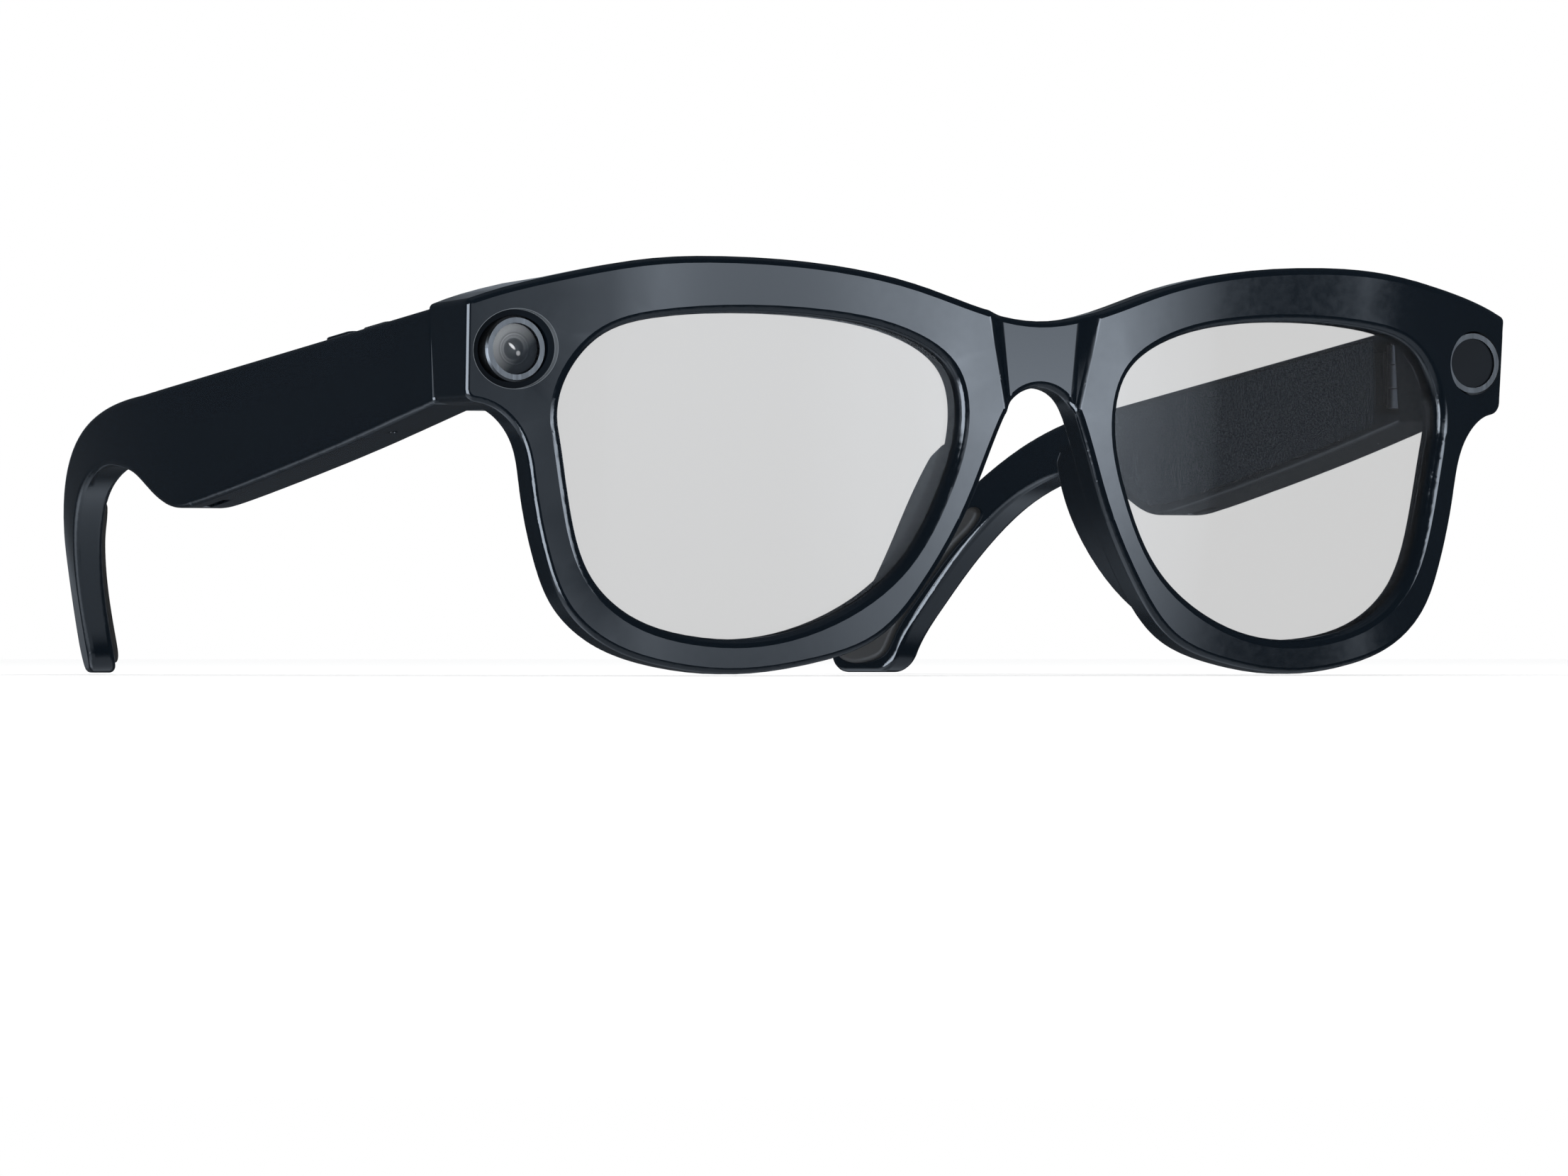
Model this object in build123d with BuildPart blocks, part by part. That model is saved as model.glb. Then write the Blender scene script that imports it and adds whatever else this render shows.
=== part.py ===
"""Camera eyeglasses: a rigid front, two folding temples and two push buttons.

Millimetres, +Z up, +X towards the wearer's left, the front looks along -Y.  Every piece is
drawn with the bridge's front face near Y = 0 and is moved back by `centre_y` when it is saved,
so that the origin is under the middle of the glasses, on the surface that they stand on.
"""

import os
from math import cos, radians, sin, tan

from build123d import *

# --- Driving dimensions ------------------------------------------------------------------

centre_y = 79.93         # depth of the origin behind the bridge's front face
seam_gap = 0.3           # between an end piece and its temple

# The front
half_width = 72.0        # centre to the outer face of an end piece
rim_depth = 4.9          # front to back
lean = 4.5               # degrees, the top leans forward
brow_fall = 2.0          # degrees that the top surface falls towards the back
edge_round = 0.8
opening_round = 1.0
pad_round = 0.9

# The bridge's sunk panel: height, its half width, that at the front face, and its depth
panel_low = (30.0, 4.2, 4.6, 0.6)
panel_high = (50.0, 6.0, 10.0, 2.2)
panel_round = 0.9

# End pieces, one with the camera and one with the indicator
cheek_inner_x = 62.1     # inner wall, behind the rim
cheek_low = 31.8         # underside, behind the rim
seam_y = 19.2            # the rear face at seam_z
seam_z = 38.0
seam_tilt = 6.0          # degrees, square to the temple's line
module_x = 66.3
module_z = 39.0
module_front = 7.2       # the modules' flat front faces
module_radius = 4.0      # ring and bore in the end piece
recess_radius = 4.8      # sunk ring of the face round the camera
recess_depth = 0.9
ring_rear = 10.5
chamber_radius = 3.5     # narrower space behind the ring
chamber_rear = 15.3

# Lenses
lens_set_back = 1.7      # behind the rim's front face
lens_thick = 1.9
lens_groove = 0.8        # how deep the lens sits in the rim

opening_points = (
    (60.7, 29.4), (59.8, 36.1), (56.0, 40.7), (48.3, 43.0), (38.0, 43.6), (27.3, 43.0),
    (17.6, 40.7), (12.1, 36.7), (10.7, 30.8), (12.7, 22.3), (17.8, 13.1), (25.9, 7.1),
    (35.0, 4.4), (43.4, 4.6), (51.1, 7.0), (56.1, 11.5), (58.8, 18.8),
)

# Temples, for the +X side: a side view cut out of a bent strip
temple_x = 71.7          # outer face at the seam
temple_thick = 7.0       # along the pod
splay = 2.2              # degrees outwards along the pod
curl = 22.0              # degrees inwards at the ear hook
outer_bend = (96.9, 140.0)   # place along the strip and radius, outer face
inner_bend = (104.0, 110.0)  # the same for the inner face
strip_drop = 32.7        # degrees below level at which the strip bends
pod_slope = 5.9          # degrees that the pod's top edge falls
temple_top = 44.4        # top edge at the seam
wall = 1.4
cover_thick = 1.2
cover_gap = 0.12
temple_round = 0.8
tip_round = 3.4          # corners of the ear hook's end
cavity_span = (31.5, 94.0)
cover_span = (30.2, 104.0)
cover_margin = (0.75, 1.1)    # under the top edge and above the keel

# Hinges
hinge_x = 64.0
hinge_y = 21.3
knuckle_radius = 1.7
pin_radius = 0.7
pin_clearance = 0.05
hinge_z = (33.6, 36.15, 39.05, 41.6)  # ends of the three knuckles
knuckle_gap = 0.12
knuckle_room = 0.25      # round a knuckle, in the other leaf
leaf_thick = 1.2
leaf_front = 15.8        # how far ahead the front's leaf reaches
leaf_inner_x = hinge_x + 2.0
leaf_room = 0.6          # round the temple's leaf, in the shell
recess_x = 67.3          # how far the temple is cut away for its hinge leaf
recess_end = 29.5
leaf_screws = [(y, (hinge_z[0] + hinge_z[3]) / 2) for y in (24.6, 27.6)]
screw_head_radius = 0.85
screw_head_thick = 0.5
screw_radius = 0.5
screw_length = 3.2
screw_socket = (0.45, 0.3)   # hexagon radius and depth
pin_head_radius = 1.2
pin_head_thick = 0.4
pin_slot = (0.3, 0.2)        # width and depth

# Buttons on the -X temple
button_gap = 0.15
button_travel = 0.4

low_plane = Plane(origin=(0, 6 * tan(radians(lean)), -6))
upright = (0, -sin(radians(lean)), cos(radians(lean)))
tilt = radians(seam_tilt)
seam_plane = Plane(origin=(0, seam_y, seam_z), x_dir=(1, 0, 0), z_dir=(0, cos(tilt), -sin(tilt)))
drop = radians(strip_drop)
strip_plane = Plane(
    origin=(0, seam_y, seam_z), x_dir=(0, cos(drop), -sin(drop)), z_dir=(0, -sin(drop), -cos(drop))
)


# --- Shared shapes -----------------------------------------------------------------------

def both_sides(points):
    """A symmetrical run of points, given from the middle outwards."""
    return [(-x, z) for x, z in reversed(points[1:])] + list(points)


def front_line(back):
    """The front face's line seen from above, moved back by the given distance."""
    points = both_sides(((0, 0), (16, 1.35), (32, 3.7), (48, 6.15), (58, 7.8), (66, 10.2), (75, 13.8)))
    return Spline([(x, y + back) for x, y in points])


def front_layer(near, far):
    """The leaning sheet of the front between two distances behind its front face."""
    with BuildPart() as layer:
        with BuildSketch(low_plane):
            with BuildLine():
                near_line = front_line(near)
                far_line = front_line(far)
                Line(near_line @ 0, far_line @ 0)
                Line(near_line @ 1, far_line @ 1)
            make_face()
        extrude(amount=66, dir=upright)
    return layer.part


def brow_outline():
    """Everything under the front's top line, seen from ahead."""
    top = both_sides((
        (0, 43.0), (8.3, 44.4), (16.5, 47.1), (27.3, 49.4), (39.9, 50.4), (50.4, 50.1),
        (60.9, 48.3), (half_width, 45.2), (78, 42.0),
    ))
    with BuildSketch(Plane.XZ) as outline:
        with BuildLine():
            brow = Spline(top)
            Polyline(brow @ 0, (-78, -20), (78, -20), brow @ 1)
        make_face()
    return outline.sketch


def rims_outline():
    """Everything over the front's lower line, seen from ahead, with rounded end piece corners."""
    under = both_sides((
        (0, 34.9), (3.3, 33.7), (5.4, 30.3), (8.9, 21.1), (14.2, 11.2), (20.2, 4.4),
        (28.8, 1.2), (38.0, 0.0), (47.0, 0.9), (55.0, 3.8), (59.6, 8.2), (61.9, 13.6),
        (63.9, 22.5), (65.2, 28.2), (67.2, 31.0), (71.8, 32.7),
    ))
    with BuildSketch(Plane.XZ) as outline:
        with BuildLine():
            rims = Spline(under)
            Polyline(rims @ 0, (-half_width, 45), (-half_width, 70), (half_width, 70), (half_width, 45), rims @ 1)
        make_face()
        fillet(outline.vertices().filter_by(lambda v: abs(v.X) > 71.2 and v.Y < 40), 2 * edge_round)
    return outline.sketch


def grown(points, by):
    """A closed run of points, each moved outwards square to its neighbours' line."""
    moved = []
    for i, (x, z) in enumerate(points):
        before, after = points[i - 1], points[(i + 1) % len(points)]
        along = Vector(after[0] - before[0], after[1] - before[1]).normalized()
        moved.append((x + by * along.Y, z - by * along.X))
    return moved


def lens_bar(grow):
    """A bar along Y with the outline of the +X lens opening, grown all round."""
    with BuildPart() as bar:
        with BuildSketch(Plane.XZ):
            with BuildLine():
                Spline(grown(opening_points, grow), periodic=True)
            make_face()
        extrude(amount=30, both=True)
    return bar.part


def rod(x, z, radius, near, far):
    """A round bar along Y between two depths."""
    with BuildPart() as bar:
        with BuildSketch(Plane.XZ.offset(-far)):
            with Locations((x, z)):
                Circle(radius)
        extrude(amount=far - near)
    return bar.part


def post(x, y, radius, low, high):
    """A round bar along Z between two heights."""
    with BuildPart() as bar:
        with BuildSketch(Plane.XY.offset(low)):
            with Locations((x, y)):
                Circle(radius)
        extrude(amount=high - low)
    return bar.part


def block(x, y, z):
    """A box between pairs of X, Y and Z limits."""
    with BuildPart() as box:
        with Locations(((x[0] + x[1]) / 2, (y[0] + y[1]) / 2, (z[0] + z[1]) / 2)):
            Box(x[1] - x[0], y[1] - y[0], z[1] - z[0])
    return box.part


def behind_seam(gap):
    """Everything behind the plane between an end piece and its temple."""
    with BuildPart() as space:
        with BuildSketch(seam_plane.offset(gap)):
            Rectangle(300, 300)
        extrude(amount=300)
    return space.part


def mirrored(piece):
    """The same piece on the other side of the glasses."""
    with BuildPart() as other:
        mirror(piece, about=Plane.YZ)
    return other.part


def save(piece, name):
    """Move a finished piece to the glasses' own origin and write it."""
    placed = piece.moved(Location((0, -centre_y, 0)))
    placed.label = name
    export_step(placed, f"parts/{name}.step")


def save_pair(piece, name):
    """Write a +X piece as the left one and its mirror image as the right one."""
    save(piece, f"{name}_left")
    save(mirrored(piece), f"{name}_right")


def facing(part, toward):
    """The faces that look ahead (-1) or back (1)."""
    return part.faces().filter_by(lambda f: toward * f.normal_at().Y > 0.85)


os.makedirs("parts", exist_ok=True)

# --- The front ---------------------------------------------------------------------------

cable_line = (
    (0, 40.6), (10, 42.3), (20, 45.6), (37, 48.0), (50, 47.0), (60, 43.9), (63.2, 41.9),
)
cable_size = (1.6, 0.3)
cable_set_back = 2.2
cable_room = 0.2


def cable_strip(room):
    """The flat cable along the brow, or with some room the channel that holds it."""
    with BuildPart() as strip:
        add(front_layer(cable_set_back - room, cable_set_back + cable_size[1] + room))
        with BuildSketch(Plane.XZ) as band:
            with BuildLine():
                Spline(both_sides(cable_line))
            trace(line_width=cable_size[0] + 2 * room)
        extrude(band.sketch, amount=40, both=True, mode=Mode.INTERSECT)
    return strip.part


lens = front_layer(lens_set_back, lens_set_back + lens_thick) & lens_bar(lens_groove)
opening = lens_bar(0)
end_bore = rod(module_x, module_z, module_radius, -5, ring_rear)
end_chamber = rod(module_x, module_z, chamber_radius, 0, chamber_rear)
knuckle_space = post(
    hinge_x, hinge_y, knuckle_radius + knuckle_room, hinge_z[1] - knuckle_gap, hinge_z[2] + knuckle_gap
)

with BuildPart() as nose_pad:
    with BuildSketch(Plane.XZ) as nose_side:
        with BuildLine():
            outer_side = Spline((6.5, 28.4), (9.3, 21.1), (14.6, 11.3), (18.6, 6.6))
            inner_side = Spline((21.0, 8.2), (17.0, 12.9), (12.0, 22.2), (9.4, 28.4))
            Line(outer_side @ 1, inner_side @ 0)
            Line(inner_side @ 1, outer_side @ 0)
        make_face()
    extrude(nose_side.sketch, amount=20, both=True)
    with BuildSketch(Plane.YZ) as reach:
        with BuildLine():
            ramp = Spline((8.4, 26.6), (9.9, 21.0), (9.3, 14.0), (7.0, 8.4), (4.6, 6.0))
            Polyline(ramp @ 0, (6.4, 28.0), (0.5, 28.0), (3.5, 6.0), ramp @ 1)
        make_face()
    extrude(reach.sketch, amount=30, both=True, mode=Mode.INTERSECT)
    fillet(nose_pad.edges().filter_by(lambda e: e.center().Y > 6.0), pad_round)

with BuildPart() as bridge_cut:
    for z, half_floor, half_mouth, deep in (panel_low, panel_high):
        front_y = -z * tan(radians(lean))
        mouth = half_mouth + (half_mouth - half_floor) * 3 / deep
        with BuildSketch(Plane.XY.offset(z)):
            Polygon(
                (-half_floor, front_y + deep), (half_floor, front_y + deep), (mouth, front_y - 3),
                (-mouth, front_y - 3), align=None,
            )
    loft()
    fillet(bridge_cut.edges().filter_by(lambda e: e.length > 15 and e.center().Y > -2.4), panel_round)

with BuildPart() as front_leaf:
    half_leaf = leaf_thick / 2
    add(block((hinge_x - half_leaf, hinge_x + half_leaf), (leaf_front, hinge_y), (hinge_z[0], hinge_z[3])))
    add(post(hinge_x, hinge_y, knuckle_radius, hinge_z[0], hinge_z[3]))
    add(knuckle_space, mode=Mode.SUBTRACT)
    add(post(hinge_x, hinge_y, pin_radius, hinge_z[0] - 1, hinge_z[3] + 1), mode=Mode.SUBTRACT)

cable_channel = cable_strip(cable_room)
camera_recess = mirrored(front_layer(-1, recess_depth) & rod(module_x, module_z, recess_radius, 0, 15))

with BuildPart() as front_frame:
    add(front_layer(0, rim_depth))
    with BuildSketch(Plane(origin=(0, -cheek_low * tan(radians(lean)), cheek_low))):
        Polygon((cheek_inner_x, 10), (75, 15.5), (75, 29), (cheek_inner_x, 29), align=None)
        mirror(about=Plane.YZ)
    extrude(amount=20, dir=upright)
    extrude(rims_outline(), amount=40, both=True, mode=Mode.INTERSECT)
    fall = radians(brow_fall)
    extrude(brow_outline(), amount=40, dir=(0, cos(fall), -sin(fall)), both=True, mode=Mode.INTERSECT)
    add(behind_seam(0), mode=Mode.SUBTRACT)
    corners = front_frame.edges().filter_by(lambda e: abs(e.center().X) > 71 and e.center().Z > 43)
    fillet(corners.filter_by(lambda e: e.bounding_box().size.Y > 5), edge_round)
    add(bridge_cut.part, mode=Mode.SUBTRACT)
    creases = front_frame.edges(Select.LAST).filter_by(lambda e: e.bounding_box().size.Z > 5)
    fillet(creases.sort_by(Axis.Y)[:2], panel_round)
    fillet(facing(front_frame, -1).edges(), edge_round)
    back_edges = facing(front_frame, 1).sort_by(SortBy.AREA)[-1].edges()
    fillet(back_edges.filter_by(lambda e: e.length > half_width), edge_round)
    for bar in (opening, mirrored(opening)):
        add(bar, mode=Mode.SUBTRACT)
        fillet(front_frame.edges(Select.LAST).filter_by(GeomType.LINE, reverse=True), opening_round)
    add(nose_pad.part)
    add(mirrored(nose_pad.part))
    for piece in (lens, end_bore, end_chamber, front_leaf.part):
        add(piece, mode=Mode.SUBTRACT)
        add(mirrored(piece), mode=Mode.SUBTRACT)
    add(cable_channel, mode=Mode.SUBTRACT)
    add(camera_recess, mode=Mode.SUBTRACT)
save(front_frame.part, "front_frame")
save_pair(lens, "lens")
save(cable_strip(0), "brow_cable")
save_pair(front_leaf.part, "front_hinge")

# --- Camera, on the -X side, and indicator, on the +X side -------------------------------

bezel_inner = 3.1
glass_rear = module_front + 1.1
barrel_rear = 12.6
board_rear = 13.4

with BuildPart() as module_ring:
    add(rod(module_x, module_z, module_radius, module_front, ring_rear))
    chamfer(module_ring.edges().group_by(Axis.Y)[0], 0.25)
    add(rod(module_x, module_z, bezel_inner, module_front - 1, ring_rear + 1), mode=Mode.SUBTRACT)
module_board = rod(module_x, module_z, chamber_radius, barrel_rear, board_rear)

with BuildPart() as camera_barrel:
    add(rod(module_x, module_z, bezel_inner, glass_rear, barrel_rear))
    with BuildSketch(Plane.XZ.offset(-glass_rear)):
        with Locations((module_x, module_z)):
            Circle(2.5)
    extrude(amount=-1.2, taper=35, mode=Mode.SUBTRACT)
    add(rod(module_x, module_z, 1.5, glass_rear, 10.2), mode=Mode.SUBTRACT)
    add(rod(module_x, module_z, 2.2, 10.2, barrel_rear), mode=Mode.SUBTRACT)

with BuildPart() as camera_lens:
    add(rod(module_x, module_z, 1.4, 9.5, 10.2))
    fillet(camera_lens.edges().group_by(Axis.Y)[0], 0.5)
    add(rod(module_x, module_z, 2.2, 10.2, 11.4))

with BuildPart() as camera_board:
    add(module_board)
    with Locations((module_x, barrel_rear - 0.25, module_z)):
        Box(2.4, 0.5, 2.0)

save(mirrored(module_ring.part), "camera_ring")
camera_glass = rod(module_x, module_z, bezel_inner, module_front + 0.05, glass_rear)
save(mirrored(camera_glass), "camera_glass")
save(mirrored(camera_barrel.part), "camera_barrel")
save(mirrored(camera_lens.part), "camera_lens")
save(mirrored(camera_board.part), "camera_board")
save(module_ring.part, "indicator_ring")
save(rod(module_x, module_z, bezel_inner, module_front + 0.28, glass_rear), "indicator_window")
save(rod(module_x, module_z, 1.35, glass_rear, barrel_rear), "light_guide")
save(module_board, "indicator_board")

# --- Temple shapes, for the +X side ------------------------------------------------------

def strip_line(start_x, bend):
    """One face of the bent strip: a straight pod, an arc and a straight hook."""
    at, radius = bend
    bend_x = start_x + at * tan(radians(splay))
    first, last = -20, 160
    return FilletPolyline(
        (first, bend_x - (at - first) * tan(radians(splay))),
        (at, bend_x),
        (last, bend_x - (last - at) * tan(radians(curl))),
        radius=radius,
    )


def inner_line(inset):
    """The strip's inner face, moved outwards by the inset."""
    return strip_line(temple_x - temple_thick + inset, inner_bend)


def strip_layer(near, far=None):
    """The strip between two distances from its inner face, or as far as its outer face."""
    with BuildPart() as sheet:
        with BuildSketch(strip_plane):
            with BuildLine():
                one = inner_line(near)
                two = strip_line(temple_x, outer_bend) if far is None else inner_line(far)
                Line(one @ 0, two @ 0)
                Line(one @ 1, two @ 1)
            make_face()
        extrude(amount=70, both=True)
    return sheet.part


def pod_top(y, below):
    """A point under the pod's straight top edge."""
    return (y, temple_top - (y - seam_y) * tan(radians(pod_slope)) - below)


def temple_side():
    """The temple seen from the side, with its ear hook."""
    with BuildSketch(Plane.YZ) as side:
        with BuildLine():
            pod = Line(pod_top(10, 0), pod_top(104, 0))
            over = Spline(
                pod @ 1, (121.6, 33.4), (131.2, 30.6), (138.8, 27.0), (146.6, 21.8), (153.4, 16.2),
                (158.8, 10.6), (162.4, 5.2), (164.0, 0.0),
            )
            under = Spline(
                (150.6, 0.0), (149.8, 4.3), (147.4, 8.6), (144.4, 12.9), (140.2, 17.6),
                (134.2, 22.2), (127.0, 25.3), (119.0, 26.8), (112.4, 26.5), (107.2, 25.6),
                (102.8, 23.9), (98.6, 22.2), (93.8, 21.1), (86.0, 21.5), (72.3, 23.5), (44.6, 28.0),
                (19.8, 32.5), (10, 34.2),
            )
            Line(over @ 1, under @ 0)
            Line(under @ 1, pod @ 0)
        make_face()
        fillet(side.vertices().filter_by(lambda v: v.X > 149 and v.Y < 1), tip_round)
    return side.sketch


def side_view(*points):
    """A flat shape seen from the side, by its corners."""
    with BuildSketch(Plane.YZ) as shape:
        Polygon(*points, align=None)
    return shape.sketch


def cut_from(sheet, shape):
    """The part of a strip layer that lies inside a side view."""
    with BuildPart() as piece:
        add(sheet)
        extrude(shape, amount=100, both=True, mode=Mode.INTERSECT)
    return piece.part


def pod_outline(front, rear, below_top, above_keel):
    """The pod's side view inside a margin, between two depths."""
    keel = ((44.6, 28.0), (72.3, 23.6), (88.0, 21.5))
    low = [(y, z + above_keel) for y, z in keel if front < y < rear]
    first = (front, 32.5 - (front - 19.8) * 0.181 + above_keel)
    return side_view(
        pod_top(front, below_top), first, *low, (94, 21.2 + above_keel),
        (min(rear, 98.5), 22.4 + above_keel), (rear, 22.4 + above_keel + max(0, rear - 98.5) * 0.45),
        pod_top(rear, below_top),
    )


def hinge_screws(socket):
    """The two screws of a temple's hinge leaf, pointing outwards."""
    with BuildPart() as screws:
        with BuildSketch(Plane.YZ.offset(leaf_inner_x)):
            with Locations(*leaf_screws):
                Circle(screw_head_radius)
        extrude(amount=screw_head_thick)
        with BuildSketch(Plane.YZ.offset(leaf_inner_x)):
            with Locations(*leaf_screws):
                Circle(screw_radius)
        extrude(amount=screw_length)
        if socket:
            with BuildSketch(Plane.YZ.offset(leaf_inner_x)):
                with Locations(*leaf_screws):
                    RegularPolygon(screw_socket[0], 6)
            extrude(amount=screw_socket[1], mode=Mode.SUBTRACT)
    return screws.part


def cover_outline(grow):
    """The inner cover's side view, or with some growth that of the opening round it."""
    below, above = cover_margin
    return pod_outline(cover_span[0] - grow, cover_span[1] + grow, below - grow, above - grow)


body_strip = cut_from(strip_layer(0), temple_side())
with BuildPart() as temple_solid:
    add(body_strip)
    add(behind_seam(seam_gap), mode=Mode.INTERSECT)
    fillet(temple_solid.edges(), temple_round)

# --- Temple pieces -----------------------------------------------------------------------

screw_holes = hinge_screws(False)

with BuildPart() as temple_leaf:
    leaf_span = (hinge_y + 0.4, recess_end - leaf_room / 2)
    leaf_height = (hinge_z[0] + leaf_room, hinge_z[3] - leaf_room)
    add(block((leaf_inner_x, recess_x), leaf_span, leaf_height))
    add(block((hinge_x, recess_x), (hinge_y, hinge_y + 1.6), (hinge_z[1], hinge_z[2])))
    add(post(hinge_x, hinge_y, knuckle_radius, hinge_z[1], hinge_z[2]))
    add(post(hinge_x, hinge_y, pin_radius + pin_clearance, 0, 60), mode=Mode.SUBTRACT)
    add(screw_holes, mode=Mode.SUBTRACT)

with BuildPart() as hinge_pin:
    add(post(hinge_x, hinge_y, pin_radius, hinge_z[0], hinge_z[3]))
    add(post(hinge_x, hinge_y, pin_head_radius, hinge_z[3], hinge_z[3] + pin_head_thick))
    half_slot = pin_slot[0] / 2
    slot_floor = hinge_z[3] + pin_head_thick - pin_slot[1]
    add(block((60, 70), (hinge_y - half_slot, hinge_y + half_slot), (slot_floor, 60)), mode=Mode.SUBTRACT)

# The metal core of the ear hook
with BuildSketch(Plane.YZ) as core_side:
    with BuildLine():
        Spline((97.5, 30.5), (114, 30.6), (126, 29.2), (137, 24.6), (146, 17.4), (152.4, 9.6))
    trace(line_width=1.6)
hook_core = cut_from(strip_layer(1.5, 2.2), core_side.sketch)

# The soft pad on the inside of each tip
pad_edge = 0.5
pad_front = -0.8               # proud of the tip's inner face
pad_rear = 0.9
with BuildSketch(Plane.YZ) as pad_side:
    with BuildLine():
        Spline(
            (140.0, 22.6), (146.0, 19.2), (151.4, 14.6), (156.4, 9.4), (160.0, 4.8), (160.6, 2.6),
            (158.8, 1.5), (155.0, 1.5), (152.4, 2.6), (151.2, 5.4), (148.9, 9.6), (145.8, 13.8),
            (141.6, 18.2), (138.8, 20.6), (138.2, 22.0),
            periodic=True,
        )
    make_face()
with BuildPart() as tip_pad:
    add(cut_from(strip_layer(pad_front, pad_rear), pad_side.sketch))
    proud = tip_pad.faces().filter_by(lambda f: f.normal_at().X < -0.7)
    fillet([e for e in proud.edges() if sum(e in f.edges() for f in proud) == 1], pad_edge)

# Openings in the shell
cavity = cut_from(strip_layer(-1, temple_thick - wall), pod_outline(*cavity_span, 1.7, 1.9))
slot_x = (70.6, 71.8)
slot_y = (83.0, 89.5)
microphone_place = (69.5, 36.0, 0.6)    # X, Y and radius
speaker_slot = block(slot_x, slot_y, (18, 26))
microphone_hole = post(*microphone_place, 26, 33.4)
shell_cuts = (
    cut_from(strip_layer(-1, cover_thick), cover_outline(cover_gap)),
    cavity,
    block((55, recess_x), (10, recess_end), (hinge_z[0] - leaf_room, hinge_z[3] + leaf_room + 0.1)),
    screw_holes,
    hook_core,
    cut_from(strip_layer(-1, pad_rear), pad_side.sketch),
    speaker_slot,
    microphone_hole,
)
with BuildPart() as temple_shell:
    add(temple_solid.part)
    for piece in shell_cuts:
        add(piece, mode=Mode.SUBTRACT)

# Inside each pod
board = cut_from(
    strip_layer(4.4, 5.2), side_view(pod_top(33.5, 3.4), (33.5, 33.2), (58, 29.4), pod_top(58, 3.4))
)
with BuildPart() as chips:
    add(cut_from(
        strip_layer(3.3, 4.4), side_view(pod_top(39, 4.6), (39, 34.2), (47, 33.4), pod_top(47, 4.6))
    ))
    add(cut_from(
        strip_layer(3.7, 4.4), side_view(pod_top(49, 4.8), (49, 33.0), (54, 32.4), pod_top(54, 4.8))
    ))
battery = cut_from(
    strip_layer(cover_thick + 0.3, 5.2), side_view(pod_top(60, 2.2), (60, 28.4), (81, 25.3), pod_top(81, 2.2))
)
speaker = cut_from(
    strip_layer(cover_thick + 0.5, 5.0),
    side_view(pod_top(83, 3.0), (83, 25.6), (90.5, 25.0), pod_top(90.5, 3.0)),
)
touch_sensor = cut_from(
    strip_layer(5.25, temple_thick - wall),
    side_view(pod_top(59, 2.4), (59, 28.8), (90, 26), pod_top(90, 2.4)),
)
cover = cut_from(strip_layer(0, cover_thick), cover_outline(0)) & temple_solid.part

save_pair(temple_leaf.part, "temple_hinge")
save_pair(hinge_screws(True), "hinge_screws")
save_pair(hinge_pin.part, "hinge_pin")
save_pair(hook_core, "hook_core")
save_pair(tip_pad.part, "tip_pad")
save_pair(board, "circuit_board")
save_pair(chips.part, "board_chips")
save_pair(battery, "battery")
save_pair(speaker, "speaker")
save_pair(block(slot_x, slot_y, (22.4, 22.9)), "speaker_mesh")
save_pair(post(*microphone_place, 31.4, 31.8), "microphone_mesh")
save_pair(cover, "temple_cover")
save(mirrored(touch_sensor), "touch_sensor")

# --- Push buttons in the top of the -X temple --------------------------------------------

cap_size = (7.0, 3.0)        # along and across the temple
cap_corner = 1.0
flange_top = 1.8             # under the temple's top edge
flange_rim = 0.35
flange_thick = 0.45
switch_top = flange_top + flange_thick + button_travel + 0.05
board_top = 3.4


def top_plane(y):
    """A plane on the middle of the pod's top edge, with +Z square to it."""
    slope = radians(pod_slope)
    side = radians(splay)
    mid_x = temple_x - temple_thick / 2 + (y - seam_y) * tan(side)
    return Plane(
        origin=(mid_x, y, pod_top(y, 0)[1]), x_dir=(sin(side), cos(side), -tan(slope)),
        z_dir=(0, sin(slope), cos(slope)),
    )


def slab(y, grow, low, high):
    """A plate with a button's rounded outline, between two heights over the top edge."""
    with BuildPart() as plate:
        with BuildSketch(top_plane(y).offset(low)):
            RectangleRounded(cap_size[0] + 2 * grow, cap_size[1] + 2 * grow, cap_corner + grow)
        extrude(amount=high - low)
    return plate.part


def button(y, proud):
    """A cap that stands proud of the temple, on a flange that keeps it in."""
    with BuildPart() as piece:
        add(slab(y, 0, -flange_top, proud))
        fillet(piece.edges().group_by(Axis.Z)[-1], 0.25)
        add(slab(y, flange_rim, -flange_top - flange_thick, -flange_top))
    return piece.part


def switch(y):
    """The small switch on the board's top edge, under a button."""
    with BuildPart() as piece:
        with Locations(top_plane(y) * Location((0, 1.2, -(switch_top + board_top) / 2))):
            Box(3.6, 1.8, board_top - switch_top)
    return piece.part


capture_y = 49.8
capture_proud = 0.65
power_y = 39.6
power_proud = 0.5
with BuildPart() as right_shell:
    add(temple_shell.part)
    for y in (capture_y, power_y):
        add(slab(y, button_gap, -3, 2), mode=Mode.SUBTRACT)
save(temple_shell.part, "temple_shell_left")
save(mirrored(right_shell.part), "temple_shell_right")
save(mirrored(button(capture_y, capture_proud)), "capture_button")
save(mirrored(button(power_y, power_proud)), "power_button")
save(mirrored(switch(capture_y)), "capture_switch")
save(mirrored(switch(power_y)), "power_switch")
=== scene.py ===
from math import cos, degrees, pi, radians, sin, sqrt, tan

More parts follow.
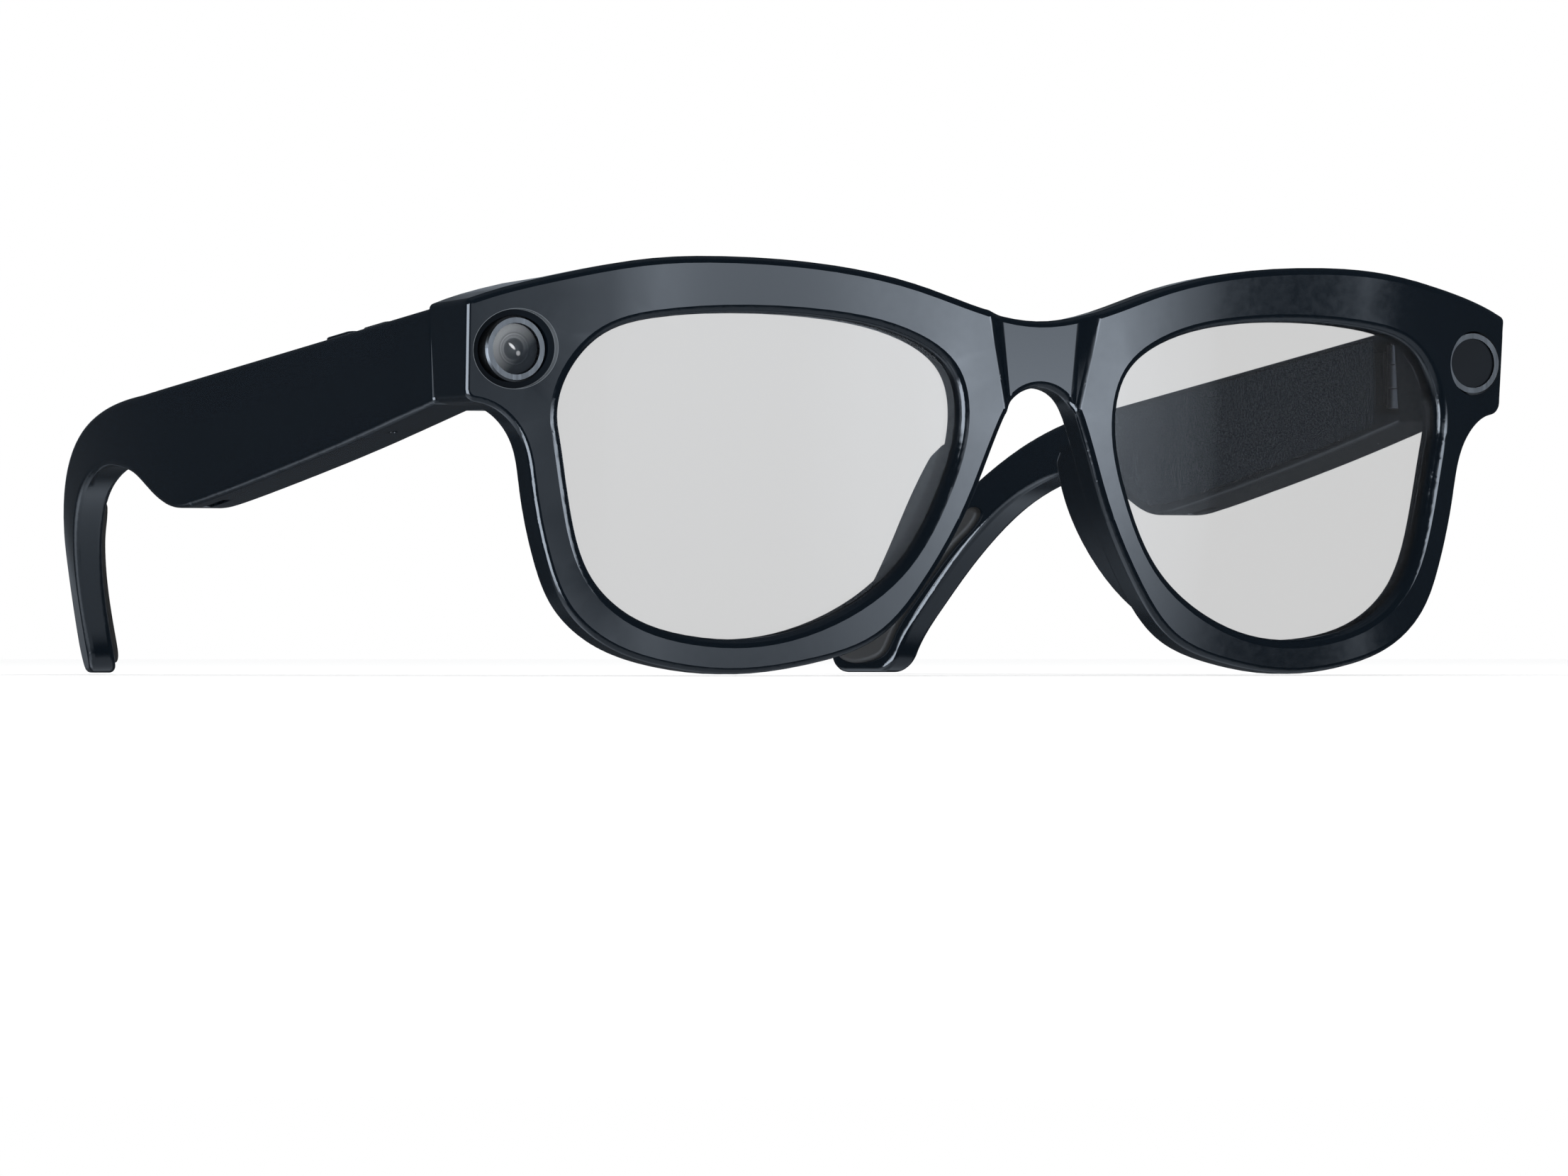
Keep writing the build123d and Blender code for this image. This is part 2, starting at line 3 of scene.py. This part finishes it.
import bmesh
import bpy
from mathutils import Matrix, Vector


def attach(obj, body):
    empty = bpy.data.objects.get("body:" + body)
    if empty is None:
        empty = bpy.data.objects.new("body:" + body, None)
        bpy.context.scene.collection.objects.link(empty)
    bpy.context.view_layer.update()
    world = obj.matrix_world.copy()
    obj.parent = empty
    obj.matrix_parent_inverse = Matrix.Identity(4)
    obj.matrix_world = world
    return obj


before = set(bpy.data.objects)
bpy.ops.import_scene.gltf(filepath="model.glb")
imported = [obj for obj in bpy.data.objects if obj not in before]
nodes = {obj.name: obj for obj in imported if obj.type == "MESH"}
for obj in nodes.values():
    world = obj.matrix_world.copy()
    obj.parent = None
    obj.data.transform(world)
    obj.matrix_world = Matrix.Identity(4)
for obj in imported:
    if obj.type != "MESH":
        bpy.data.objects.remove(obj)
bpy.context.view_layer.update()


# --- Camera: level with the glasses' feet, ahead of them and to their right ---------------

FRONT_Y = -0.07993            # the bridge's front face
VIEW_TURN = radians(28)       # from straight ahead, towards -X
VIEW_DISTANCE = 1.219         # from the camera to the bridge, level
VIEW_HEIGHT = 0.002           # of the camera above the floor
AIM_LEFT = radians(1.433)     # from the bridge, to centre the glasses
AIM_UP = radians(0.494)       # from the bridge's foot
SENSOR = 36.0                 # width, in millimetres
LENS = 229.3                  # focal length, in millimetres

look = Vector((sin(VIEW_TURN), cos(VIEW_TURN), 0))
aside = Vector((cos(VIEW_TURN), -sin(VIEW_TURN), 0))
eye = Vector((0, FRONT_Y, 0)) - look * VIEW_DISTANCE + Vector((0, 0, VIEW_HEIGHT))
slope = tan(AIM_UP) - VIEW_HEIGHT / VIEW_DISTANCE
target = eye + look - aside * tan(AIM_LEFT) + Vector((0, 0, slope))

camera_data = bpy.data.cameras.new("camera")
camera_data.sensor_width = SENSOR
camera_data.lens = LENS
camera_data.clip_start = 0.05
camera_data.clip_end = 50
camera = bpy.data.objects.new("camera", camera_data)
camera.location = eye
camera.rotation_euler = (target - eye).to_track_quat("-Z", "Y").to_euler()
bpy.context.scene.collection.objects.link(camera)
bpy.context.scene.camera = camera


# --- Node helpers --------------------------------------------------------------------------

def new_material(name, color, rough, metallic=0.0, coat=0.0, coat_rough=0.05, ior=1.5):
    """A Principled material; its uniform numbers are set on the shader's own sockets."""
    m = bpy.data.materials.new(name)
    m.use_nodes = True
    p = m.node_tree.nodes["Principled BSDF"]
    p.inputs["Base Color"].default_value = (*color, 1)
    p.inputs["Roughness"].default_value = rough
    p.inputs["Metallic"].default_value = metallic
    p.inputs["Coat Weight"].default_value = coat
    p.inputs["Coat Roughness"].default_value = coat_rough
    p.inputs["IOR"].default_value = ior
    return m, p


def noise(m, scale, detail=2.0, rough=0.5, distortion=0.0, stretch=(1, 1, 1)):
    """Noise in the object's own coordinates, in cycles per metre."""
    t = m.node_tree
    where = t.nodes.new("ShaderNodeTexCoord")
    fit = t.nodes.new("ShaderNodeMapping")
    fit.inputs["Scale"].default_value = stretch
    n = t.nodes.new("ShaderNodeTexNoise")
    n.inputs["Scale"].default_value = scale
    n.inputs["Detail"].default_value = detail
    n.inputs["Roughness"].default_value = rough
    n.inputs["Distortion"].default_value = distortion
    t.links.new(where.outputs["Object"], fit.inputs["Vector"])
    t.links.new(fit.outputs["Vector"], n.inputs["Vector"])
    return n.outputs["Fac"]


def spread(m, value, low, high, from_low=0.3, from_high=0.7):
    """A value between from_low and from_high, mapped to low..high."""
    t = m.node_tree
    r = t.nodes.new("ShaderNodeMapRange")
    r.inputs["From Min"].default_value = from_low
    r.inputs["From Max"].default_value = from_high
    r.inputs["To Min"].default_value = low
    r.inputs["To Max"].default_value = high
    t.links.new(value, r.inputs["Value"])
    return r.outputs["Result"]


def tint(m, value, dark, light):
    """A colour between dark and light."""
    t = m.node_tree
    mix = t.nodes.new("ShaderNodeMix")
    mix.data_type = "RGBA"
    mix.inputs["A"].default_value = (*dark, 1)
    mix.inputs["B"].default_value = (*light, 1)
    t.links.new(value, mix.inputs["Factor"])
    return mix.outputs["Result"]


def bump(m, p, height, strength, distance):
    """Bends the shader's normal by a height; the distance is in metres."""
    t = m.node_tree
    b = t.nodes.new("ShaderNodeBump")
    b.inputs["Strength"].default_value = strength
    b.inputs["Distance"].default_value = distance
    t.links.new(height, b.inputs["Height"])
    t.links.new(b.outputs["Normal"], p.inputs["Normal"])


def maths(tree, operation, a, b=None):
    """A maths node, whose inputs are numbers or sockets."""
    n = tree.nodes.new("ShaderNodeMath")
    n.operation = operation
    for i, v in enumerate((a, b)):
        if isinstance(v, (int, float)):
            n.inputs[i].default_value = v
        elif v is not None:
            tree.links.new(v, n.inputs[i])
    return n.outputs[0]


def blend_colors(m, factor, plain, color):
    """From a colour socket to a fixed colour, as the factor goes from 0 to 1."""
    t = m.node_tree
    mix = t.nodes.new("ShaderNodeMix")
    mix.data_type = "RGBA"
    mix.inputs["B"].default_value = (*color, 1)
    t.links.new(factor, mix.inputs["Factor"])
    t.links.new(plain, mix.inputs["A"])
    return mix.outputs["Result"]


def facing(m, blend):
    """0 where a face is seen square on, up to 1 where it is seen edge on."""
    edge = m.node_tree.nodes.new("ShaderNodeLayerWeight")
    edge.inputs["Blend"].default_value = blend
    return edge.outputs["Facing"]


# --- Materials ------------------------------------------------------------------------------

CAMERA_X = -0.0663            # the glasses' own camera: its axis, along Y
CAMERA_Z = 0.039
RECESS = 0.0048               # radius of the sunk ring round it
RECESS_HIGHLIGHT = 0.00002         # half the width of the painted highlight line on the ring's edge
HIGHLIGHT_FADE = 0.00005           # width over which the painted highlight fades out
PLATE = 0.0031                # radius of the plate under its cover glass


def from_axis(m, x, z):
    """The distance from an axis along Y, in metres."""
    t = m.node_tree
    where = t.nodes.new("ShaderNodeTexCoord")
    flat = t.nodes.new("ShaderNodeVectorMath")
    flat.operation = "MULTIPLY"
    flat.inputs[1].default_value = (1, 0, 1)
    reach = t.nodes.new("ShaderNodeVectorMath")
    reach.operation = "DISTANCE"
    reach.inputs[1].default_value = (x, 0, z)
    t.links.new(where.outputs["Object"], flat.inputs[0])
    t.links.new(flat.outputs["Vector"], reach.inputs[0])
    return reach.outputs["Value"]


def polished_plastic(name="polished_plastic"):
    """Injection-moulded, polished blue-black plastic with a faint ripple and fine wear."""
    m, p = new_material(name, (0.003, 0.006, 0.010), 0.13, coat=0.25, coat_rough=0.04)
    t = m.node_tree
    cloud = noise(m, 60, 3)
    color = tint(m, cloud, (0.0022, 0.0050, 0.0088), (0.0034, 0.0066, 0.0108))
    t.links.new(color, p.inputs["Base Color"])
    fine = noise(m, 900, 2, 0.6)
    t.links.new(spread(m, fine, 0.08, 0.12), p.inputs["Roughness"])
    ripple = noise(m, 90, 1, 0.3)
    bump(m, p, ripple, 0.02, 0.00002)
    return m


def front_plastic():
    """The polished plastic, with a painted highlight line on the rim of the sunk ring round the camera;
    inside it the ring is made matt, as painted shade.
    """
    m = polished_plastic("front_plastic")
    t = m.node_tree
    p = t.nodes["Principled BSDF"]
    ring = from_axis(m, CAMERA_X, CAMERA_Z)
    # painted highlight: a narrow light line in the base colour on the sunk ring's rim
    near = RECESS_HIGHLIGHT + HIGHLIGHT_FADE
    inner = spread(m, ring, 0.0, 1.0, RECESS - near, RECESS - RECESS_HIGHLIGHT)
    outer = spread(m, ring, 1.0, 0.0, RECESS + RECESS_HIGHLIGHT, RECESS + near)
    painted_highlight = maths(t, "MULTIPLY", inner, outer)
    plain = p.inputs["Base Color"].links[0].from_socket
    t.links.new(blend_colors(m, painted_highlight, plain, (0.16, 0.18, 0.20)), p.inputs["Base Color"])
    edge = (RECESS - 2 * HIGHLIGHT_FADE, RECESS - 2 * RECESS_HIGHLIGHT)       # inside it, the ring is made matt: painted shade that darkens the recess
    t.links.new(spread(m, ring, 0.10, 0.5, *edge), p.inputs["Specular IOR Level"])
    t.links.new(spread(m, ring, 0.0, 0.25, *edge), p.inputs["Coat Weight"])
    return m


def satin_plastic():
    """The inner faces: the same plastic with a fine moulded grain."""
    m, p = new_material("satin_plastic", (0.008, 0.012, 0.017), 0.26)
    p.inputs["Specular IOR Level"].default_value = 0.22
    t = m.node_tree
    cloud = noise(m, 80, 3)
    color = tint(m, cloud, (0.0088, 0.0142, 0.0215), (0.0108, 0.0170, 0.0250))
    t.links.new(color, p.inputs["Base Color"])
    grain = noise(m, 3000, 3, 0.65)
    t.links.new(spread(m, grain, 0.23, 0.29), p.inputs["Roughness"])
    bump(m, p, grain, 0.02, 0.00001)
    return m


def lens_glass():
    """A clear lens with a faint grey tint that gets more reflective at grazing angles."""
    m, p = new_material("lens_glass", (0.30, 0.31, 0.32), 0.02, coat=0.3, coat_rough=0.02)
    t = m.node_tree
    t.links.new(spread(m, facing(m, 0.18), 0.225, 0.6, 0.45, 1.0), p.inputs["Alpha"])
    film = noise(m, 40, 2)
    t.links.new(tint(m, film, (0.045, 0.047, 0.050), (0.055, 0.057, 0.060)), p.inputs["Base Color"])
    return m


def metal(name, color, rough, scratch=0.08):
    """Brushed or turned metal with fine scratches."""
    m, p = new_material(name, color, rough, metallic=1.0)
    t = m.node_tree
    lines = noise(m, 2600, 3, 0.6, stretch=(1, 1, 0.06))
    t.links.new(spread(m, lines, rough - scratch, rough + scratch), p.inputs["Roughness"])
    worn = tint(m, lines, [c * 0.85 for c in color], [min(1, c * 1.1) for c in color])
    t.links.new(worn, p.inputs["Base Color"])
    bump(m, p, lines, 0.12, 0.00002)
    return m


def grained(name, dark, light, rough, scale, depth):
    """A plain moulded or coated material with a fine grain."""
    m, p = new_material(name, light, rough)
    t = m.node_tree
    grain = noise(m, scale, 4, 0.6)
    t.links.new(tint(m, grain, dark, light), p.inputs["Base Color"])
    t.links.new(spread(m, grain, rough - 0.06, rough + 0.06), p.inputs["Roughness"])
    bump(m, p, grain, 0.25, depth)
    return m


def smoked_glass(name, color, rough, coat=1.0):
    """Dark polished glass with a slight mottle."""
    ior = 1.6 if coat else 1.2
    m, p = new_material(name, color, rough, coat=coat, coat_rough=0.02, ior=ior)
    film = tint(m, noise(m, 300, 2), [c * 0.8 for c in color], [c * 1.2 for c in color])
    m.node_tree.links.new(film, p.inputs["Base Color"])
    return m


plastic = polished_plastic()
front_look = front_plastic()
satin = satin_plastic()
clear = lens_glass()
steel = metal("hinge_steel", (0.045, 0.047, 0.052), 0.34)
dark_metal = metal("module_ring_metal", (0.098, 0.101, 0.104), 0.34)
grey_ring = metal("indicator_ring_metal", (0.088, 0.091, 0.094), 0.40)
rubber = grained("soft_touch_pad", (0.014, 0.0135, 0.013), (0.022, 0.021, 0.020), 0.62, 4200, 0.00003)
laminate = grained("board_laminate", (0.01, 0.05, 0.025), (0.02, 0.09, 0.045), 0.45, 1800, 0.00002)
amber_film = grained("flexible_laminate", (0.20, 0.09, 0.015), (0.30, 0.14, 0.03), 0.40, 1500, 0.00002)
chip_black = grained("chip_resin", (0.008, 0.008, 0.009), (0.02, 0.02, 0.022), 0.6, 6000, 0.00002)
foil = metal("battery_foil", (0.55, 0.56, 0.58), 0.35)
mesh_metal = metal("fine_mesh", (0.05, 0.05, 0.055), 0.5)
barrel_metal = metal("barrel_anodised", (0.030, 0.032, 0.036), 0.30)
optic = smoked_glass("optic_glass", (0.03, 0.035, 0.045), 0.03)
window_glass = smoked_glass("window_glass", (0.0030, 0.0046, 0.0070), 0.34, 0.0)
guide_glass = smoked_glass("guide_glass", (0.10, 0.11, 0.12), 0.2)


# Brightness of the camera's front plate along its radius, from (radius over PLATE, level) stops
PLATE_STEPS = (
    (0.0, 0.30), (0.30, 0.16), (0.40, 0.22), (0.45, 0.75), (0.54, 0.55), (0.58, 0.85), (0.62, 0.5),
    (0.68, 0.8), (1.0, 1.0),
)


def spun_plate():
    """The camera's turned front plate: lighter and darker rings along its radius, a painted sheen
    brighter to the upper left, and two painted glints.
    """
    m, p = new_material("camera_front_plate", (0.05, 0.055, 0.06), 0.4)
    t = m.node_tree

    where = t.nodes.new("ShaderNodeTexCoord")
    axes = t.nodes.new("ShaderNodeSeparateXYZ")
    t.links.new(where.outputs["Object"], axes.inputs[0])
    u = maths(t, "DIVIDE", maths(t, "SUBTRACT", axes.outputs["X"], CAMERA_X), PLATE)
    v = maths(t, "DIVIDE", maths(t, "SUBTRACT", axes.outputs["Z"], CAMERA_Z), PLATE)
    rise = maths(t, "MULTIPLY", maths(t, "SUBTRACT", v, u), sqrt(0.5))      # to the upper left
    across = maths(t, "MULTIPLY", maths(t, "ADD", v, u), sqrt(0.5))

    steps = t.nodes.new("ShaderNodeValToRGB")
    stops = steps.color_ramp.elements
    for place, level in PLATE_STEPS:
        stop = stops[0] if place == 0 else stops[-1] if place == 1 else stops.new(place)
        stop.color = (level, level, level, 1)
    radius = maths(t, "DIVIDE", from_axis(m, CAMERA_X, CAMERA_Z), PLATE)
    t.links.new(radius, steps.inputs["Fac"])
    # painted sheen: the plate's colour grows lighter towards the upper left, as if lit from there
    painted_sheen = spread(m, rise, 0.02, 1.0, -0.45, 0.9)
    shade = maths(t, "MULTIPLY", painted_sheen, steps.outputs["Color"])
    body = tint(m, shade, (0.018, 0.024, 0.032), (0.52, 0.55, 0.58))

    def squared(value, half):
        return maths(t, "POWER", maths(t, "ABSOLUTE", maths(t, "DIVIDE", value, half)), 2)

    def painted_glint(place, half_length, half_width):
        """1 inside an ellipse that lies along the rise, fading to 0 at its rim: the mask of a painted
        glint.
        """
        along = squared(maths(t, "SUBTRACT", rise, place), half_length)
        return spread(m, maths(t, "ADD", along, squared(across, half_width)), 1.0, 0.0, 0.25, 1.0)

    # painted glints: two near-white spots in the plate's colour where the lens would catch a light
    faint_painted_spot = maths(t, "MULTIPLY", painted_glint(-0.24, 0.12, 0.11), 0.45)
    painted_spots = maths(t, "MAXIMUM", painted_glint(0.14, 0.20, 0.07), faint_painted_spot)
    t.links.new(blend_colors(m, painted_spots, body, (0.95, 0.97, 1.0)), p.inputs["Base Color"])
    p.inputs["Specular IOR Level"].default_value = 0.2
    return m


def camera_cover():
    """The flat cover glass of the camera, mostly transparent with an anti-glare coating."""
    m, p = new_material("camera_cover_glass", (0.02, 0.024, 0.03), 0.06, ior=1.15)
    veil = spread(m, facing(m, 0.3), 0.10, 0.7, 0.3, 1.0)
    m.node_tree.links.new(veil, p.inputs["Alpha"])
    return m


cover_glass = camera_cover()

LOOKS = {
    "front_frame": front_look, "temple_shell": plastic, "temple_cover": satin, "lens": clear,
    "brow_cable": amber_film, "front_hinge": steel, "hinge_pin": steel, "temple_hinge": steel,
    "hinge_screws": steel, "hook_core": steel, "tip_pad": rubber, "circuit_board": laminate,
    "board_chips": chip_black, "battery": foil, "speaker": steel, "speaker_mesh": mesh_metal,
    "microphone_mesh": mesh_metal, "touch_sensor": amber_film, "capture_switch": steel,
    "power_switch": steel, "capture_button": plastic, "power_button": plastic,
    "camera_ring": dark_metal, "camera_glass": cover_glass, "camera_barrel": barrel_metal,
    "camera_lens": optic, "camera_board": laminate, "indicator_ring": grey_ring,
    "indicator_window": window_glass, "light_guide": guide_glass, "indicator_board": laminate,
}


# --- Camera optics: a turned front plate under the cover glass -------------------------------

BARREL_FACE = FRONT_Y + 0.0083      # the front of the barrel, behind the cover glass
ROUND = 96                          # segments of a turned piece
MM = 0.001

# (radius, depth behind the barrel's face), in millimetres
PLATE_PROFILE = (
    (3.05, -0.30), (3.05, -0.46), (2.98, -0.50), (2.02, -0.42), (1.96, -0.50), (1.78, -0.54),
    (1.70, -0.44), (1.42, -0.36), (1.36, -0.30), (1.20, -0.34), (0.90, -0.46), (0.50, -0.55),
    (0.05, -0.58),
)


def turned(name, profile, material):
    """A closed piece turned about the camera's axis from (radius, depth) points in millimetres."""
    bm = bmesh.new()
    rings = []
    for radius, depth in profile:
        ring = []
        for i in range(ROUND):
            angle = 2 * pi * i / ROUND
            x = CAMERA_X + radius * cos(angle) * MM
            z = CAMERA_Z + radius * sin(angle) * MM
            ring.append(bm.verts.new((x, BARREL_FACE + depth * MM, z)))
        rings.append(ring)
    for ring, after in zip(rings, rings[1:]):
        for i in range(ROUND):
            bm.faces.new((ring[i - 1], ring[i], after[i], after[i - 1]))
    bm.faces.new(rings[0])
    bm.faces.new(rings[-1])
    bmesh.ops.recalc_face_normals(bm, faces=bm.faces)
    mesh = bpy.data.meshes.new(name)
    bm.to_mesh(mesh)
    bm.free()
    for face in mesh.polygons:
        face.use_smooth = len(face.vertices) == 4
    mesh.materials.append(material)
    piece = bpy.data.objects.new(name, mesh)
    bpy.context.scene.collection.objects.link(piece)
    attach(piece, "front")


for name, node in nodes.items():
    kind = name if name in LOOKS else name.rsplit("_", 1)[0]
    node.data.materials.clear()
    node.data.materials.append(LOOKS[kind])

turned("camera_front_plate", PLATE_PROFILE, spun_plate())


# --- Studio: a pale floor, a white surround and soft boxes ---------------------------------

world = bpy.data.worlds.new("studio")
bpy.context.scene.world = world
world.use_nodes = True
wt = world.node_tree
wt.nodes.clear()


def world_step(value, start, end):
    """Rises smoothly from 0 at start to 1 at end; start may be the larger."""
    n = wt.nodes.new("ShaderNodeMapRange")
    n.interpolation_type = "SMOOTHSTEP"
    low, high = min(start, end), max(start, end)
    n.inputs["From Min"].default_value = low
    n.inputs["From Max"].default_value = high
    n.inputs["To Min"].default_value = 0 if start < end else 1
    n.inputs["To Max"].default_value = 1 if start < end else 0
    wt.links.new(value, n.inputs["Value"])
    return n.outputs["Result"]


where = wt.nodes.new("ShaderNodeTexCoord")
axes = wt.nodes.new("ShaderNodeSeparateXYZ")
wt.links.new(where.outputs["Generated"], axes.inputs[0])
# Both in degrees; azimuth 0 is straight ahead of the glasses (-Y), and 90 is towards +X
ahead = maths(wt, "MULTIPLY", axes.outputs["Y"], -1)
azimuth = maths(wt, "MULTIPLY", maths(wt, "ARCTAN2", axes.outputs["X"], ahead), degrees(1))
height = maths(wt, "MULTIPLY", maths(wt, "ARCSINE", axes.outputs["Z"]), degrees(1))


def soft_box(az, el, level, soft_az=4, soft_el=6):
    """A bright rectangle of the surround, with soft edges, that only shows in reflections."""
    left = world_step(azimuth, az[0] - soft_az, az[0] + soft_az)
    right = world_step(azimuth, az[1] + soft_az, az[1] - soft_az)
    low = world_step(height, el[0] - soft_el, el[0] + soft_el)
    high = world_step(height, el[1] + soft_el, el[1] - soft_el)
    across = maths(wt, "MULTIPLY", left, right)
    upright = maths(wt, "MULTIPLY", low, high)
    return maths(wt, "MULTIPLY", maths(wt, "MULTIPLY", across, upright), level)


def front_box(stops, low_el, high_el):
    """The box ahead of the glasses, graded from one (azimuth, level) stop to the next."""
    level = stops[0][1]
    for (az, before), (next_az, after) in zip(stops, stops[1:]):
        step = maths(wt, "MULTIPLY", world_step(azimuth, az, next_az), after - before)
        level = maths(wt, "ADD", level, step)
    upright = maths(wt, "MULTIPLY", world_step(height, *low_el), world_step(height, *high_el))
    return maths(wt, "MULTIPLY", upright, level)


# (azimuth, level): fades in slowly from the -X side and ends sharply on the +X side
FRONT_STOPS = (
    (-40, 0.0), (-30, 0.3), (-14, 1.1), (4, 1.9), (9, 2.9), (11, 5.0), (15, 7.0), (21, 7.6),
    (36, 7.0), (41, 5.6), (44, 3.4), (45.4, 2.0), (46.1, 1.1), (46.4, 0.05), (90, 0.0),
)
SURROUND = 0.05               # what reflections show between the boxes
ALL_ROUND = (-181, 181)

boxes = (
    front_box(FRONT_STOPS, (-11.5, -4.2), (5.5, -2.5)),
    soft_box((-100, -52), (-30, 6), 9.0),                    # lights the edges that turn to -X
    soft_box((-168, -64), (-60, -28), 0.7, 10, 10),          # low, for the -X temple's outer face
    soft_box((134, 170), (-1, 9), 0.2, 6, 3),                # behind, for the ear hooks' edges
    soft_box(ALL_ROUND, (-91, -40), 0.45, 1, 10),
    soft_box(ALL_ROUND, (60, 91), 0.12, 1, 10),
)
glow = SURROUND
for box in boxes:
    glow = maths(wt, "ADD", glow, box)

out = wt.nodes.new("ShaderNodeOutputWorld")
path = wt.nodes.new("ShaderNodeLightPath")
white = wt.nodes.new("ShaderNodeBackground")
white.inputs["Color"].default_value = (1, 1, 1, 1)
mirror_side = wt.nodes.new("ShaderNodeBackground")
mirror_side.inputs["Color"].default_value = (0.77, 0.87, 1.0, 1)
wt.links.new(glow, mirror_side.inputs["Strength"])
pick = wt.nodes.new("ShaderNodeMixShader")
wt.links.new(path.outputs["Is Glossy Ray"], pick.inputs[0])
wt.links.new(white.outputs[0], pick.inputs[1])
wt.links.new(mirror_side.outputs[0], pick.inputs[2])
wt.links.new(pick.outputs[0], out.inputs["Surface"])

FLOOR = 12.0                  # half of its side
FLOOR_GAP = 0.0002            # between the glasses' lowest point and the floor
FLOOR_SHINE = 0.15

floor_mesh = bpy.data.meshes.new("floor")
bm = bmesh.new()
bmesh.ops.create_grid(bm, x_segments=2, y_segments=2, size=FLOOR)
bm.to_mesh(floor_mesh)
bm.free()
floor = bpy.data.objects.new("floor", floor_mesh)
floor.location = (0, 0, -FLOOR_GAP)
bpy.context.scene.collection.objects.link(floor)

floor_mat, fp = new_material("pale_floor", (0.97, 0.97, 0.97), 1.0)
fp.inputs["Specular IOR Level"].default_value = 0.0
fp.inputs["Emission Color"].default_value = (1, 1, 1, 1)
fp.inputs["Emission Strength"].default_value = 0.14
ft = floor_mat.node_tree
shine = ft.nodes.new("ShaderNodeBsdfGlossy")
shine.inputs["Roughness"].default_value = 0.10
blend = ft.nodes.new("ShaderNodeMixShader")
blend.inputs[0].default_value = FLOOR_SHINE
ft.links.new(fp.outputs[0], blend.inputs[1])
ft.links.new(shine.outputs[0], blend.inputs[2])
ft.links.new(blend.outputs[0], ft.nodes["Material Output"].inputs["Surface"])
floor.data.materials.append(floor_mat)
floor.visible_glossy = False

lamp_data = bpy.data.lights.new("overhead", "AREA")
lamp_data.shape = "RECTANGLE"
lamp_data.size, lamp_data.size_y = 1.6, 1.2
lamp_data.energy = 5
overhead = bpy.data.objects.new("overhead", lamp_data)
overhead.location = (0.2, -0.3, 1.8)
overhead.visible_camera = False
overhead.visible_glossy = False
bpy.context.scene.collection.objects.link(overhead)

bpy.context.scene.view_settings.view_transform = "Standard"
bpy.context.scene.view_settings.look = "None"
